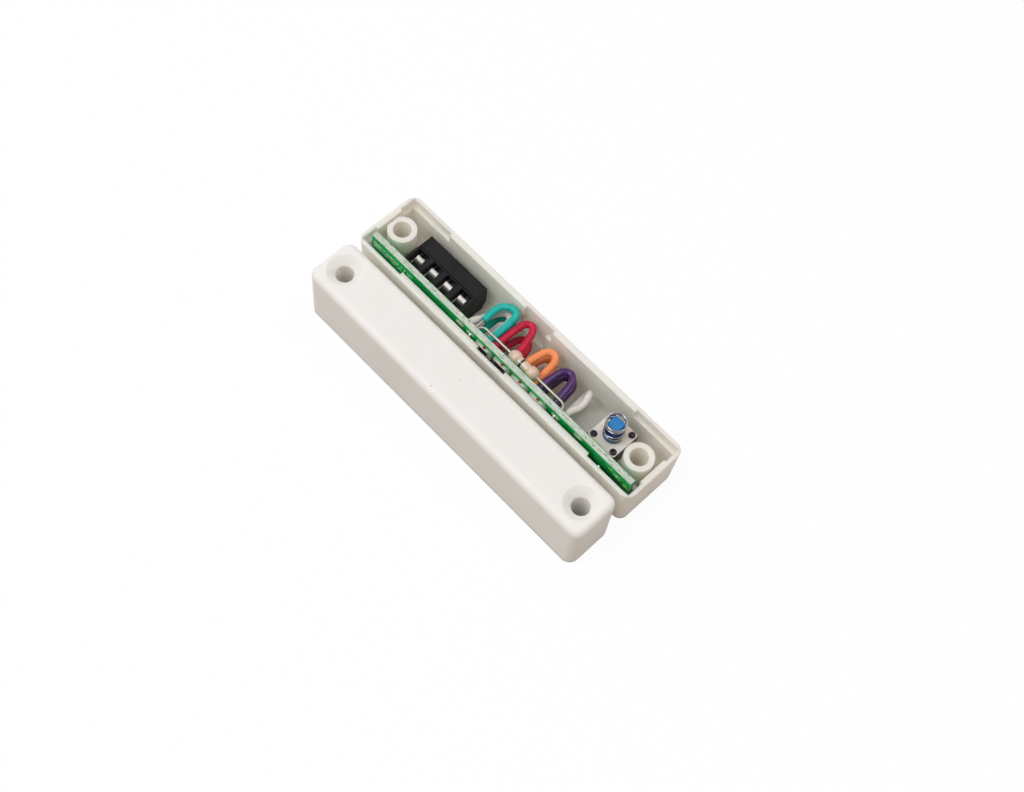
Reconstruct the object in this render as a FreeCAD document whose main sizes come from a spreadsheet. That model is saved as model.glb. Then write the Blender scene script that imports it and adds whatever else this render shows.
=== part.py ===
# Magnetic door contact: an open switch unit and its closed magnet unit, side by side.
# Millimetres, +Z up. X runs along both units and Y across them. The origin is in the
# middle of the surface that both units stand on.
import FreeCAD, Part
import Sketcher
import math
import os
import re
from FreeCAD import Vector

doc = FreeCAD.newDocument("DoorContact")

# Driving dimensions
SIZES = {
    # the two units side by side
    "unit_gap": 1.65,
    "fit_clearance": 0.1,
    "seat_gap": 0.05,
    # switch base: an open tray with drafted walls
    "tray_length": 65.0,
    "tray_width": 13.4,
    "tray_height": 10.2,
    "tray_draft": 0.2,
    "tray_corner": 1.6,
    "tray_rounding": 0.3,
    "floor_thickness": 1.3,
    "side_wall": 1.3,
    "end_wall": 1.15,
    "rim_thickness": 0.72,
    "rebate_depth": 2.0,
    "rebate_length": 10.2,
    "end_land": 5.6,
    "latch_left": 3.6,
    "latch_right": 1.65,
    "latch_floor": 2.2,
    "catch_length": 1.25,
    "catch_height": 7.1,
    "ledge_middle": 15.5,
    "ledge_length": 2.4,
    "ledge_height": 4.3,
    "ledge_depth": 0.15,
    "post_inset": 4.15,
    "post_diameter": 5.2,
    "post_bore": 3.2,
    "post_rise": 0.45,
    "post_flat": 2.3,
    "guide_height": 7.4,
    "guide_length": 1.3,
    "guide_thickness": 0.8,
    # circuit board on edge along the near wall
    "board_end_gap": 0.55,
    "board_height": 9.6,
    "board_thickness": 1.2,
    "board_gap": 0.7,
    "hole_clearance": 0.08,
    "pin_tail": 0.45,
    "solder_spread": 0.22,
    # terminal blocks: two two-way modules
    "block_clearance": 0.25,
    "pole_pitch": 3.5,
    "block_margin": 1.0,
    "block_depth": 5.8,
    "block_chamfer_reach": 0.9,
    "block_chamfer_rise": 1.8,
    "block_roof": 0.6,
    "block_base": 0.6,
    "window_width": 2.5,
    "tongue_depth": 0.25,
    "tongue_width": 1.0,
    "cage_wall": 0.25,
    "cage_drop": 1.0,
    "block_groove": 0.2,
    "screw_wall": 1.3,
    "guard_width": 1.6,
    "guard_thickness": 0.25,
    "guard_bend": 1.2,
    "guard_place": 2.75,
    "screw_diameter": 1.6,
    "screw_head_diameter": 2.5,
    "screw_head_height": 0.8,
    "screw_slot": 0.4,
    "terminal_pin": 0.8,
    # wire loops, in two rows; each slack is what a loop or a gap has over its tightest
    "wire_diameter": 1.3,
    "conductor_diameter": 0.55,
    "wire_standoff": 0.6,
    "upper_row": 7.75,
    "lower_row": 4.5,
    "left_slack": 1.96,
    "teal_slack": 0.67,
    "red_gap_slack": 0.05,
    "red_slack": 1.07,
    "orange_gap_slack": 0.65,
    "orange_slack": 0.67,
    "purple_slack": 0.97,
    "white_gap_slack": 1.35,
    "right_slack": 3.72,
    "lower_slack": 0.67,
    "white_lean": 0.95,
    "bare_end": 3.05,
    # link resistor over the loops
    "link_height": 9.7,
    "link_standoff": 1.4,
    "link_length": 6.4,
    "link_bulge": 2.38,
    "link_crown": 0.15,
    "link_waist": 1.75,
    "link_lead": 0.5,
    "link_pitch": 20.0,
    # chip resistors on the board's near face
    "chip_shift": 0.45,
    "chip_pitch": 4.25,
    "chip_length": 3.2,
    "chip_width": 1.6,
    "chip_thickness": 0.5,
    "chip_cap": 0.45,
    "chip_height": 9.1,
    # tamper switch
    "tamper_clearance": 0.5,
    "tamper_flange": 0.1,
    "tamper_standoff": 4.2,
    "tamper_face": 8.0,
    "tamper_side": 6.0,
    "tamper_base_height": 3.4,
    "tamper_plate": 0.25,
    "tamper_corner": 0.3,
    "tamper_travel": 0.25,
    "stud_spacing": 4.5,
    "stud_diameter": 1.0,
    "stud_rise": 0.2,
    "pin_width": 0.7,
    "pin_thickness": 0.3,
    "plunger_diameter": 2.8,
    "stem_side": 2.3,
    "stem_corner": 0.35,
    "plunger_top": 12.3,
    "plunger_collar": 3.5,
    "collar_height": 0.5,
    "flange_diameter": 4.2,
    "flange_height": 0.5,
    "running_clearance": 0.06,
    "dome_rise": 0.6,
    "dome_thickness": 0.12,
    "spring_inner": 3.1,
    "spring_wire": 0.28,
    "spring_length": 4.4,
    "spring_foot_turns": 2.5,
    "spring_open_turns": 1.5,
    "spring_head_turns": 2,
    "spring_coil_gap": 0.05,
    # reed switch behind the board
    "reed_diameter": 2.0,
    "reed_length": 12.0,
    "reed_wall": 0.2,
    "reed_height": 2.65,
    "reed_lead": 0.45,
    "reed_overlap": 0.8,
    "reed_pitch": 20.0,
    # magnet unit
    "magnet_unit_length": 64.2,
    "magnet_unit_width": 9.75,
    "magnet_unit_height": 12.4,
    "magnet_unit_draft": 0.1,
    "magnet_unit_corner": 1.9,
    "magnet_unit_rounding": 1.2,
    "magnet_unit_wall": 1.3,
    "magnet_unit_roof": 1.6,
    "fixing_inset": 4.05,
    "fixing_bore": 3.2,
    "fixing_tube": 6.2,
    "countersink_diameter": 6.2,
    "countersink_depth": 1.35,
    "magnet_length": 38.0,
    "magnet_width": 6.4,
    "magnet_height": 5.0,
    "magnet_floor": 1.6,
    "magnet_chamfer": 0.4,
    "rib_thickness": 1.0,
    "rib_spacing": 12.0,
}

# Places worked out from the driving dimensions
PLACES = {
    "total_width": "tray_width + unit_gap + magnet_unit_width",
    "switch_y": "total_width / 2 - tray_width / 2",
    "magnet_y": "magnet_unit_width / 2 - total_width / 2",
    "inner_x": "tray_length / 2 - end_wall",
    "inner_y": "tray_width / 2 - side_wall",
    "rim_x": "tray_length / 2 - rim_thickness",
    "rim_y": "tray_width / 2 - rim_thickness",
    "rebate_x": "tray_length / 2 - rebate_length",
    "rebate_floor": "tray_height - rebate_depth",
    "post_x": "tray_length / 2 - post_inset",
    "post_top": "tray_height + post_rise",
    "board_near": "board_gap - inner_y",
    "board_far": "board_near + board_thickness",
    "board_top": "floor_thickness + board_height",
    "board_end": "inner_x - board_end_gap",
    "bay_depth": "inner_y - board_far",
    "pin_end": "board_near - pin_tail",
    "block_bottom": "floor_thickness + fit_clearance",
    "block_top": "block_bottom + block_depth",
    "block_left": "post_diameter / 2 + block_clearance - post_x",
    "block_middle": "block_left + 2 * pole_pitch",
    "block_far": "inner_y - block_margin",
    "block_reach": "block_far - board_far",
    "cage_reach": "block_reach - screw_wall",
    "cavity_low": "block_bottom + 0.9",
    "cavity_high": "block_top - block_roof",
    "cavity_far": "board_far + cage_reach + fit_clearance",
    "window_far": "board_far + 0.6 * block_reach",
    "screw_height": "cavity_low + (cavity_high - cavity_low) / 2 - 0.1",
    "tamper_place": "post_x - post_diameter / 2 - tamper_clearance - tamper_flange - tamper_side / 2",
    "bay_left": "block_left + 4 * pole_pitch",
    "bay_right": "tamper_place - tamper_side / 2 - tamper_flange",
    "wire_pitch": "wire_diameter + seat_gap",
    "tight_width": "2.1 * wire_diameter",
    "end_room": "0.68 * wire_diameter",
    "tight_length": "2 * end_room + 5 * wire_pitch + 4 * tight_width",
    "gap_slack": "left_slack + red_gap_slack + orange_gap_slack + white_gap_slack + right_slack",
    "loop_slack": "teal_slack + red_slack + orange_slack + purple_slack",
    "ease": "(bay_right - bay_left - tight_length) / (gap_slack + loop_slack)",
    "teal_width": "tight_width + ease * teal_slack",
    "red_width": "tight_width + ease * red_slack",
    "orange_width": "tight_width + ease * orange_slack",
    "purple_width": "tight_width + ease * purple_slack",
    "lower_width": "tight_width + ease * lower_slack",
    "white_left": "bay_left + end_room + ease * left_slack",
    "teal_left": "white_left + wire_pitch",
    "white_width": "wire_pitch + teal_width - 0.6 * wire_diameter",
    "middle_row": "(upper_row + lower_row) / 2",
    "red_left": "teal_left + teal_width + wire_pitch + ease * red_gap_slack",
    "orange_left": "red_left + red_width + wire_pitch + ease * orange_gap_slack",
    "purple_left": "orange_left + orange_width + wire_pitch",
    "white_place": "purple_left + purple_width + wire_pitch + ease * white_gap_slack",
    "white_low_place": "white_place - ease * white_lean",
    "link_middle": "(bay_left + bay_right) / 2",
    "chip_first": "link_middle - 1.5 * chip_pitch - chip_shift",
    "link_y": "board_far + link_standoff",
    "tamper_y": "board_far + tamper_standoff",
    "base_top": "tamper_face - tamper_plate",
    "base_bottom": "base_top - tamper_base_height",
    "flange_top": "base_top - seat_gap",
    "flange_bottom": "flange_top - flange_height",
    "collar_bottom": "tamper_face + tamper_travel + seat_gap",
    "collar_top": "collar_bottom + collar_height",
    "chamber_floor": "flange_bottom - dome_rise - seat_gap - 0.25",
    "reed_y": "board_far + reed_diameter / 2 + 0.3",
    "roof_bottom": "magnet_unit_height - magnet_unit_roof",
    "magnet_inner_x": "magnet_unit_length / 2 - magnet_unit_wall",
    "magnet_inner_y": "magnet_unit_width / 2 - magnet_unit_wall",
    "fixing_x": "magnet_unit_length / 2 - fixing_inset",
    "magnet_top": "magnet_floor + magnet_height",
}

sheet = doc.addObject("Spreadsheet::Sheet", "Sizes")
for row, (alias, value) in enumerate(SIZES.items(), start=1):
    sheet.set("A%d" % row, alias)
    sheet.set("B%d" % row, str(value))
    sheet.setAlias("B%d" % row, alias)
doc.recompute()
places = doc.addObject("App::VarSet", "Places")


def named(text):
    """Write an expression of plain names as one that refers to the sheet and the places."""
    def full(match):
        word = match.group(0)
        if word in SIZES:
            return "Sizes." + word
        if word in PLACES:
            return "Places." + word
        return word
    return re.sub(r"[a-z][a-z_]*", full, text)


def bind(target, path, text):
    target.setExpression(path, named(text))


for place, text in PLACES.items():
    places.addProperty("App::PropertyFloat", place)
    bind(places, place, text)
doc.recompute()


def value(name):
    """The present value of a driving dimension or a worked-out place."""
    return sheet.get(name) if name in SIZES else getattr(places, name)


# Helpers for sketches and features
def new_body(name):
    body = doc.addObject("PartDesign::Body", name)
    body.Label = name
    return body


def new_sketch(body, name, role="XY_Plane", offset="0"):
    sketch = body.newObject("Sketcher::SketchObject", name)
    plane = next(item for item in body.Origin.OriginFeatures if item.Role == role)
    sketch.AttachmentSupport = [(plane, "")]
    sketch.MapMode = "FlatFace"
    bind(sketch, "AttachmentOffset.Base.z", offset)
    return sketch


def locate(sketch, geometry, point, across, up):
    """Fix a sketch point at a place written as two expressions."""
    for kind, text in (("DistanceX", across), ("DistanceY", up)):
        index = sketch.addConstraint(Sketcher.Constraint(kind, -1, 1, geometry, point, 1.0))
        sketch.renameConstraint(index, "%s_%d_%d" % (kind, geometry, point))
        bind(sketch, "Constraints.%s_%d_%d" % (kind, geometry, point), text)


def add_polygon(sketch, corners):
    """Add a closed outline; each corner is a pair of expressions."""
    first = sketch.GeometryCount
    count = len(corners)
    for number in range(count):
        turn = 2 * math.pi / count
        start = Vector(math.cos(number * turn), math.sin(number * turn), 0)
        end = Vector(math.cos((number + 1) * turn), math.sin((number + 1) * turn), 0)
        sketch.addGeometry(Part.LineSegment(start, end), False)
    for number in range(count):
        following = first + (number + 1) % count
        sketch.addConstraint(Sketcher.Constraint("Coincident", first + number, 2, following, 1))
    for number, (across, up) in enumerate(corners):
        locate(sketch, first + number, 1, across, up)


def add_rectangle(sketch, left, right, low, high):
    add_polygon(sketch, [(left, low), (right, low), (right, high), (left, high)])


def add_circle(sketch, across, up, diameter):
    geometry = sketch.addGeometry(Part.Circle(Vector(0, 0, 0), Vector(0, 0, 1), 1.0), False)
    locate(sketch, geometry, 3, across, up)
    index = sketch.addConstraint(Sketcher.Constraint("Diameter", geometry, 1.0))
    sketch.renameConstraint(index, "Diameter_%d" % geometry)
    bind(sketch, "Constraints.Diameter_%d" % geometry, diameter)


def add_pad(body, sketch, length, middle=False):
    pad = body.newObject("PartDesign::Pad", sketch.Name + "_pad")
    pad.Profile = sketch
    bind(pad, "Length", length)
    pad.Midplane = middle
    doc.recompute()
    return pad


def add_pocket(body, sketch, length=None, reverse=False):
    """Cut a sketch out of the body, through everything when no length is given."""
    before = body.Shape.Volume
    pocket = body.newObject("PartDesign::Pocket", sketch.Name + "_pocket")
    pocket.Profile = sketch
    pocket.Reversed = reverse
    if length is None:
        pocket.Type = "ThroughAll"
    else:
        bind(pocket, "Length", length)
    doc.recompute()
    if body.Shape.Volume > before - 1e-6:
        raise RuntimeError(sketch.Name + " cuts nothing")
    return pocket


def matching_edges(feature, test):
    return ["Edge%d" % number for number, edge in enumerate(feature.Shape.Edges, start=1) if test(edge)]


def add_fillet(body, feature, name, test, radius):
    fillet = body.newObject("PartDesign::Fillet", name)
    fillet.Base = (feature, matching_edges(feature, test))
    bind(fillet, "Radius", radius)
    doc.recompute()
    return fillet


def add_chamfer(body, feature, name, test, size):
    chamfer = body.newObject("PartDesign::Chamfer", name)
    chamfer.Base = (feature, matching_edges(feature, test))
    bind(chamfer, "Size", size)
    doc.recompute()
    return chamfer


def add_draft(body, feature, name, angle, widen):
    """Slope the side walls about the plane the unit stands on."""
    draft = body.newObject("PartDesign::Draft", name)
    sides = ["Face%d" % number for number, face in enumerate(feature.Shape.Faces, start=1)
             if face.BoundBox.ZLength > 0.1]
    draft.Base = (feature, sides)
    level = next(item for item in body.Origin.OriginFeatures if item.Role == "XY_Plane")
    draft.NeutralPlane = (level, [""])
    draft.Reversed = widen
    bind(draft, "Angle", angle)
    doc.recompute()
    return draft


def rises(edge):
    """An edge that runs straight up the part."""
    box = edge.BoundBox
    return box.ZLength > 0.1 and box.XLength < 1e-4 and box.YLength < 1e-4


def lies_at(height):
    return lambda edge: abs(edge.BoundBox.ZMin - height) < 1e-4 and abs(edge.BoundBox.ZMax - height) < 1e-4


def put_feature(name, shape, unit="switch_y"):
    """Place a worked-out shape, given about its unit's middle, in the whole part."""
    feature = doc.addObject("Part::Feature", name)
    feature.Label = name
    feature.Shape = Part.makeCompound([shape]) if shape.Placement.Base.Length else shape
    bind(feature, "Placement.Base.y", unit)
    return feature


def block(x_range, y_range, z_range):
    size = [high - low for low, high in (x_range, y_range, z_range)]
    return Part.makeBox(size[0], size[1], size[2], Vector(x_range[0], y_range[0], z_range[0]))


def rod(diameter, start, end):
    axis = Vector(*end) - Vector(*start)
    return Part.makeCylinder(diameter / 2, axis.Length, Vector(*start), axis)


def tube_along(points, diameter, bend=None):
    """A round bar along straight runs joined by tangent arcs."""
    corners = [Vector(*point) for point in points]
    edges = []
    last = corners[0]
    for before, corner, after in zip(corners, corners[1:], corners[2:]):
        arrive = corner - before
        leave = after - corner
        turn = arrive.getAngle(leave)
        trim = 0.45 * min(arrive.Length, leave.Length)
        if bend:
            trim = min(trim, bend * math.tan(turn / 2))
        radius = trim / math.tan(turn / 2)
        arrive.normalize()
        leave.normalize()
        start = corner - arrive * trim
        end = corner + leave * trim
        inward = leave - arrive
        inward.normalize()
        centre = corner + inward * (radius / math.cos(turn / 2))
        edges.append(Part.LineSegment(last, start).toShape())
        edges.append(Part.Arc(start, centre - inward * radius, end).toShape())
        last = end
    edges.append(Part.LineSegment(last, corners[-1]).toShape())
    path = Part.Wire(edges)
    ring = Part.Wire([Part.Circle(corners[0], corners[1] - corners[0], diameter / 2).toShape()])
    bar = path.makePipeShell([ring], True, False)
    return bar


# Switch base: the open tray
def make_switch_base():
    body = new_body("switch_base")
    outline = new_sketch(body, "tray_outline")
    foot_x = "(tray_length / 2 - tray_draft)"
    foot_y = "(tray_width / 2 - tray_draft)"
    add_rectangle(outline, "-" + foot_x, foot_x, "-" + foot_y, foot_y)
    shell = add_pad(body, outline, "tray_height")
    shell = add_fillet(body, shell, "tray_corners", rises, "tray_corner")
    shell = add_draft(body, shell, "tray_wall_draft", "atan(tray_draft / tray_height)", widen=True)
    top = value("tray_height")
    shell = add_fillet(body, shell, "tray_rim_rounding", lies_at(top), "tray_rounding")
    shell = add_fillet(body, shell, "tray_foot_rounding", lies_at(0), "tray_rounding")

    hollow = new_sketch(body, "tray_hollow", offset="tray_height")
    add_rectangle(hollow, "-inner_x", "inner_x", "-inner_y", "inner_y")
    add_pocket(body, hollow, "tray_height - floor_thickness")

    rebates = new_sketch(body, "corner_rebates", offset="tray_height")
    for side in ("", "-"):
        for end in ("", "-"):
            near_x, far_x = end + "rebate_x", end + "rim_x"
            near_y, far_y = side + "end_land / 2", side + "rim_y"
            add_rectangle(rebates, near_x, far_x, near_y, far_y)
    add_pocket(body, rebates, "rebate_depth")

    # a deep pocket in the middle of each long wall, with the catch's ledge beside it
    latches = new_sketch(body, "latch_pockets", offset="tray_height")
    add_rectangle(latches, "-latch_left", "latch_right", "-rim_y", "rim_y")
    add_pocket(body, latches, "tray_height - latch_floor")
    catches = new_sketch(body, "latch_catches", offset="tray_height")
    add_rectangle(catches, "latch_right - 0.1", "latch_right + catch_length", "-rim_y", "rim_y")
    add_pocket(body, catches, "tray_height - catch_height")

    # a short ledge low on the far wall
    ledge = new_sketch(body, "wall_ledge", role="YZ_Plane", offset="ledge_middle")
    add_polygon(ledge, [
        ("inner_y + 0.1", "ledge_height - 2 * ledge_depth"),
        ("inner_y", "ledge_height - 2 * ledge_depth"),
        ("inner_y - ledge_depth", "ledge_height"),
        ("inner_y", "ledge_height + ledge_depth"),
        ("inner_y + 0.1", "ledge_height + ledge_depth")])
    add_pad(body, ledge, "ledge_length", middle=True)

    posts = new_sketch(body, "posts")
    for end in ("", "-"):
        add_circle(posts, end + "post_x", "0", "post_diameter")
    add_pad(body, posts, "post_top")

    flat = new_sketch(body, "post_flat_cut", offset="post_top")
    add_rectangle(flat, "-inner_x", "-(post_x + post_flat)", "-post_diameter / 2", "post_diameter / 2")
    add_pocket(body, flat, "post_top - floor_thickness")

    guides = new_sketch(body, "board_guides")
    for end in ("", "-"):
        low_x = end + "(inner_x - guide_length)"
        high_x = end + "(inner_x + 0.2)"
        add_rectangle(guides, low_x, high_x, "-(inner_y + 0.2)", "board_near - fit_clearance")
        add_rectangle(guides, low_x, high_x, "board_far + fit_clearance", "board_far + guide_thickness")
    add_pad(body, guides, "guide_height")

    bores = new_sketch(body, "post_bores", offset="post_top")
    for end in ("", "-"):
        add_circle(bores, end + "post_x", "0", "post_bore")
    add_pocket(body, bores)
    bind(body, "Placement.Base.y", "switch_y")


# Wire loops: each route is chosen by hand. The first number is the share of the loop's
# width from its left leg, the second the share of the bay's depth out from the board, and
# the third the wire diameters up from the loop's row.
LOOPS = {
    "teal_loop_upper": ("teal_left", "teal_width", "upper_row", "bare_end", [
        (-0.0395, 0.57, 0.15), (0.02, 0.765, 0.3), (0.5, 0.905, 0.6),
        (0.99, 0.86, 0.6), (1.02, 0.59, 0.3)]),
    "teal_loop_lower": ("teal_left", "lower_width", "lower_row", "wire_standoff", [
        (0.0294, 0.449, -0.04), (0.0294, 0.742, -0.04), (0.441, 0.9, -0.04),
        (0.882, 0.84, -0.04), (1, 0.517, -0.04)]),
    "red_loop_upper": ("red_left", "red_width", "upper_row", "wire_standoff", [
        (0.0132, 0.584, 0.08), (0.0921, 0.876, 0.16), (0.421, 0.955, 0.16),
        (0.658, 0.831, 0.16), (0.829, 0.562, 0.08)]),
    "red_loop_lower": ("red_left", "lower_width", "lower_row", "wire_standoff", [
        (0.0588, 0.449, -0.08), (0.147, 0.702, -0.24), (0.515, 0.843, -0.24),
        (0.868, 0.73, -0.24), (1.03, 0.472, -0.08)]),
    "orange_loop_upper": ("orange_left", "orange_width", "upper_row", "wire_standoff", [
        (0.0263, 0.472, 0.08), (0.21, 0.76, 0.08), (0.58, 0.85, 0.08),
        (0.91, 0.735, 0.08), (0.99, 0.449, 0.04)]),
    "orange_loop_lower": ("orange_left", "lower_width", "lower_row", "wire_standoff", [
        (-0.0294, 0.427, 0), (0.0588, 0.753, 0), (0.471, 0.888, 0),
        (0.853, 0.753, 0), (1, 0.427, 0)]),
    "purple_loop_upper": ("purple_left", "purple_width", "upper_row", "wire_standoff", [
        (0, 0.449, 0), (0.09, 0.7, 0), (0.42, 0.805, 0),
        (0.74, 0.705, 0), (0.88, 0.46, 0)]),
    "purple_loop_lower": ("purple_left", "lower_width", "lower_row", "wire_standoff", [
        (0.0147, 0.449, 0), (0.07, 0.78, 0), (0.45, 0.88, 0),
        (0.83, 0.78, 0), (0.93, 0.449, 0)]),
}


def loop_route(name):
    left, width, row, start, points = LOOPS[name]
    x, wide, y, z = value(left), value(width), value("board_far"), value(row)
    deep, wire = value("bay_depth"), value("wire_diameter")
    route = [(x + along * wide, y + out * deep, z + up * wire) for along, out, up in points]
    first = (x, y + value(start), z)
    last = (x + wide, y + value("wire_standoff"), z)
    return [first] + route + [last]


def white_routes():
    """The left white loop dips under the teal one; the right one stands on edge."""
    y, deep, stand = value("board_far"), value("bay_depth"), value("wire_standoff")
    high, middle, low = value("upper_row"), value("middle_row"), value("lower_row")
    wire = value("wire_diameter")
    left, wide = value("white_left"), value("white_width")
    under = [(0.02, 0.19, high - 0.08 * wire), (0.13, 0.43, middle + 0.2 * wire), (0.36, 0.74, middle),
             (0.65, 0.88, middle), (0.98, 0.8, middle), (1.01, 0.5, middle)]
    dipped = [(left + along * wide, y + out * deep, z) for along, out, z in under]
    dipped = [(left, y + stand, high)] + dipped + [(left + wide, y + stand, middle)]
    high_x, low_x = value("white_place"), value("white_low_place")
    bow = 0.6 * wire
    standing = [(high_x, y + stand, high), (high_x, y + 0.2 * deep, high),
                (high_x + bow, y + 0.45 * deep, high + 0.05 * wire),
                (high_x, y + 0.79 * deep, high + 0.16 * wire), (low_x, y + 0.775 * deep, low),
                (low_x, y + stand, low)]
    return {"white_loop_left": dipped, "white_loop_right": standing}


def loop_routes():
    routes = {name: loop_route(name) for name in LOOPS}
    routes.update(white_routes())
    return routes


def make_wire_loops():
    size = value("wire_diameter")
    for name, route in loop_routes().items():
        put_feature(name, tube_along(route, size))


def loop_ends():
    """Where each leg of each loop stops short of the board."""
    return [end for route in loop_routes().values() for end in (route[0], route[-1])]


# Through-hole pins and leads, as x, z and diameter or half-diagonal, for holes and solder
def pole_places():
    middle, pitch = value("block_middle"), value("pole_pitch")
    return [middle + pitch * step for step in (-1.5, -0.5, 0.5, 1.5)]


def lead_holes():
    """Every hole in the board as expressions: along, up and diameter."""
    holes = []
    for step in ("-1.5", "-0.5", "0.5", "1.5"):
        holes.append(("block_middle + (%s) * pole_pitch" % step, "screw_height",
                      "terminal_pin + 2 * hole_clearance"))
    wire = "conductor_diameter + 2 * hole_clearance"
    for left, width, row, start, points in LOOPS.values():
        holes.append((left, row, wire))
        holes.append((left + " + " + width, row, wire))
    holes.append(("white_left", "upper_row", wire))
    holes.append(("white_left + white_width", "middle_row", wire))
    holes.append(("white_place", "upper_row", wire))
    holes.append(("white_low_place", "lower_row", wire))
    for side in ("-", "+"):
        holes.append(("link_middle %s link_pitch / 2" % side, "link_height",
                      "link_lead + 2 * hole_clearance"))
        holes.append(("0 %s reed_pitch / 2" % side, "reed_height",
                      "reed_lead + 2 * hole_clearance"))
    diagonal = "sqrt(pin_width ^ 2 + pin_thickness ^ 2) + 2 * hole_clearance"
    for side in ("-", "+"):
        for level in ("base_bottom - pin_thickness / 2", "base_top - 3 * pin_thickness"):
            holes.append(("tamper_place %s stud_spacing / 2" % side, level, diagonal))
    return holes


def make_circuit_board():
    body = new_body("circuit_board")
    outline = new_sketch(body, "board_outline", role="XZ_Plane", offset="-board_far")
    add_rectangle(outline, "-board_end", "board_end", "floor_thickness", "board_top")
    add_pad(body, outline, "board_thickness")
    drilling = new_sketch(body, "board_holes", role="XZ_Plane", offset="-board_near")
    for along, up, diameter in lead_holes():
        add_circle(drilling, along, up, diameter)
    add_pocket(body, drilling)
    bind(body, "Placement.Base.y", "switch_y")


# Terminal blocks
def make_terminal_block(name, centre, tongue):
    body = new_body(name)
    profile = new_sketch(body, name + "_profile", role="YZ_Plane", offset=centre)
    add_polygon(profile, [
        ("board_far", "block_bottom"),
        ("block_far - block_chamfer_reach", "block_bottom"),
        ("block_far", "block_bottom + block_chamfer_rise"),
        ("block_far", "block_top"),
        ("board_far", "block_top")])
    add_pad(body, profile, "2 * pole_pitch", middle=True)
    poles = [centre + " - pole_pitch / 2", centre + " + pole_pitch / 2"]

    cages = new_sketch(body, name + "_cage_wells", role="XZ_Plane", offset="-board_far")
    for pole in poles:
        add_rectangle(cages, pole + " - window_width / 2", pole + " + window_width / 2",
                      "cavity_low", "cavity_high")
    add_pocket(body, cages, "cavity_far - board_far")

    windows = new_sketch(body, name + "_windows", offset="block_top")
    for pole in poles:
        add_rectangle(windows, pole + " - window_width / 2", pole + " + window_width / 2",
                      "board_far + block_base", "window_far")
    add_pocket(body, windows, "block_roof + 0.1")

    groove = new_sketch(body, name + "_groove", offset="block_top")
    add_rectangle(groove, centre + " - pole_pitch", centre + " + pole_pitch",
                  "window_far + block_groove", "window_far + 2 * block_groove")
    add_pocket(body, groove, "block_groove")

    wells = new_sketch(body, name + "_screw_wells", role="XZ_Plane", offset="-block_far")
    for pole in poles:
        add_circle(wells, pole, "screw_height", "screw_head_diameter + 2 * fit_clearance")
    add_pocket(body, wells, "block_far - cavity_far + 0.1", reverse=True)

    # the two modules hook together with a dovetail
    dovetail = new_sketch(body, name + "_dovetail", offset="block_bottom")
    root = "window_far + tongue_width"
    if tongue:
        side = centre + " + pole_pitch"
        add_polygon(dovetail, [
            (side + " - 0.1", root), (side, root), (side + " + tongue_depth", root + " - 0.12"),
            (side + " + tongue_depth", root + " + tongue_width + 0.12"),
            (side, root + " + tongue_width"), (side + " - 0.1", root + " + tongue_width")])
        add_pad(body, dovetail, "block_depth")
    else:
        side = centre + " - pole_pitch"
        slack = "seat_gap"
        add_polygon(dovetail, [
            (side + " - 0.1", root + " - " + slack), (side, root + " - " + slack),
            (side + " + tongue_depth + " + slack, root + " - 0.12 - " + slack),
            (side + " + tongue_depth + " + slack, root + " + tongue_width + 0.12 + " + slack),
            (side, root + " + tongue_width + " + slack),
            (side + " - 0.1", root + " + tongue_width + " + slack)])
        add_pocket(body, dovetail, reverse=True)
    bind(body, "Placement.Base.y", "switch_y")


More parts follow.
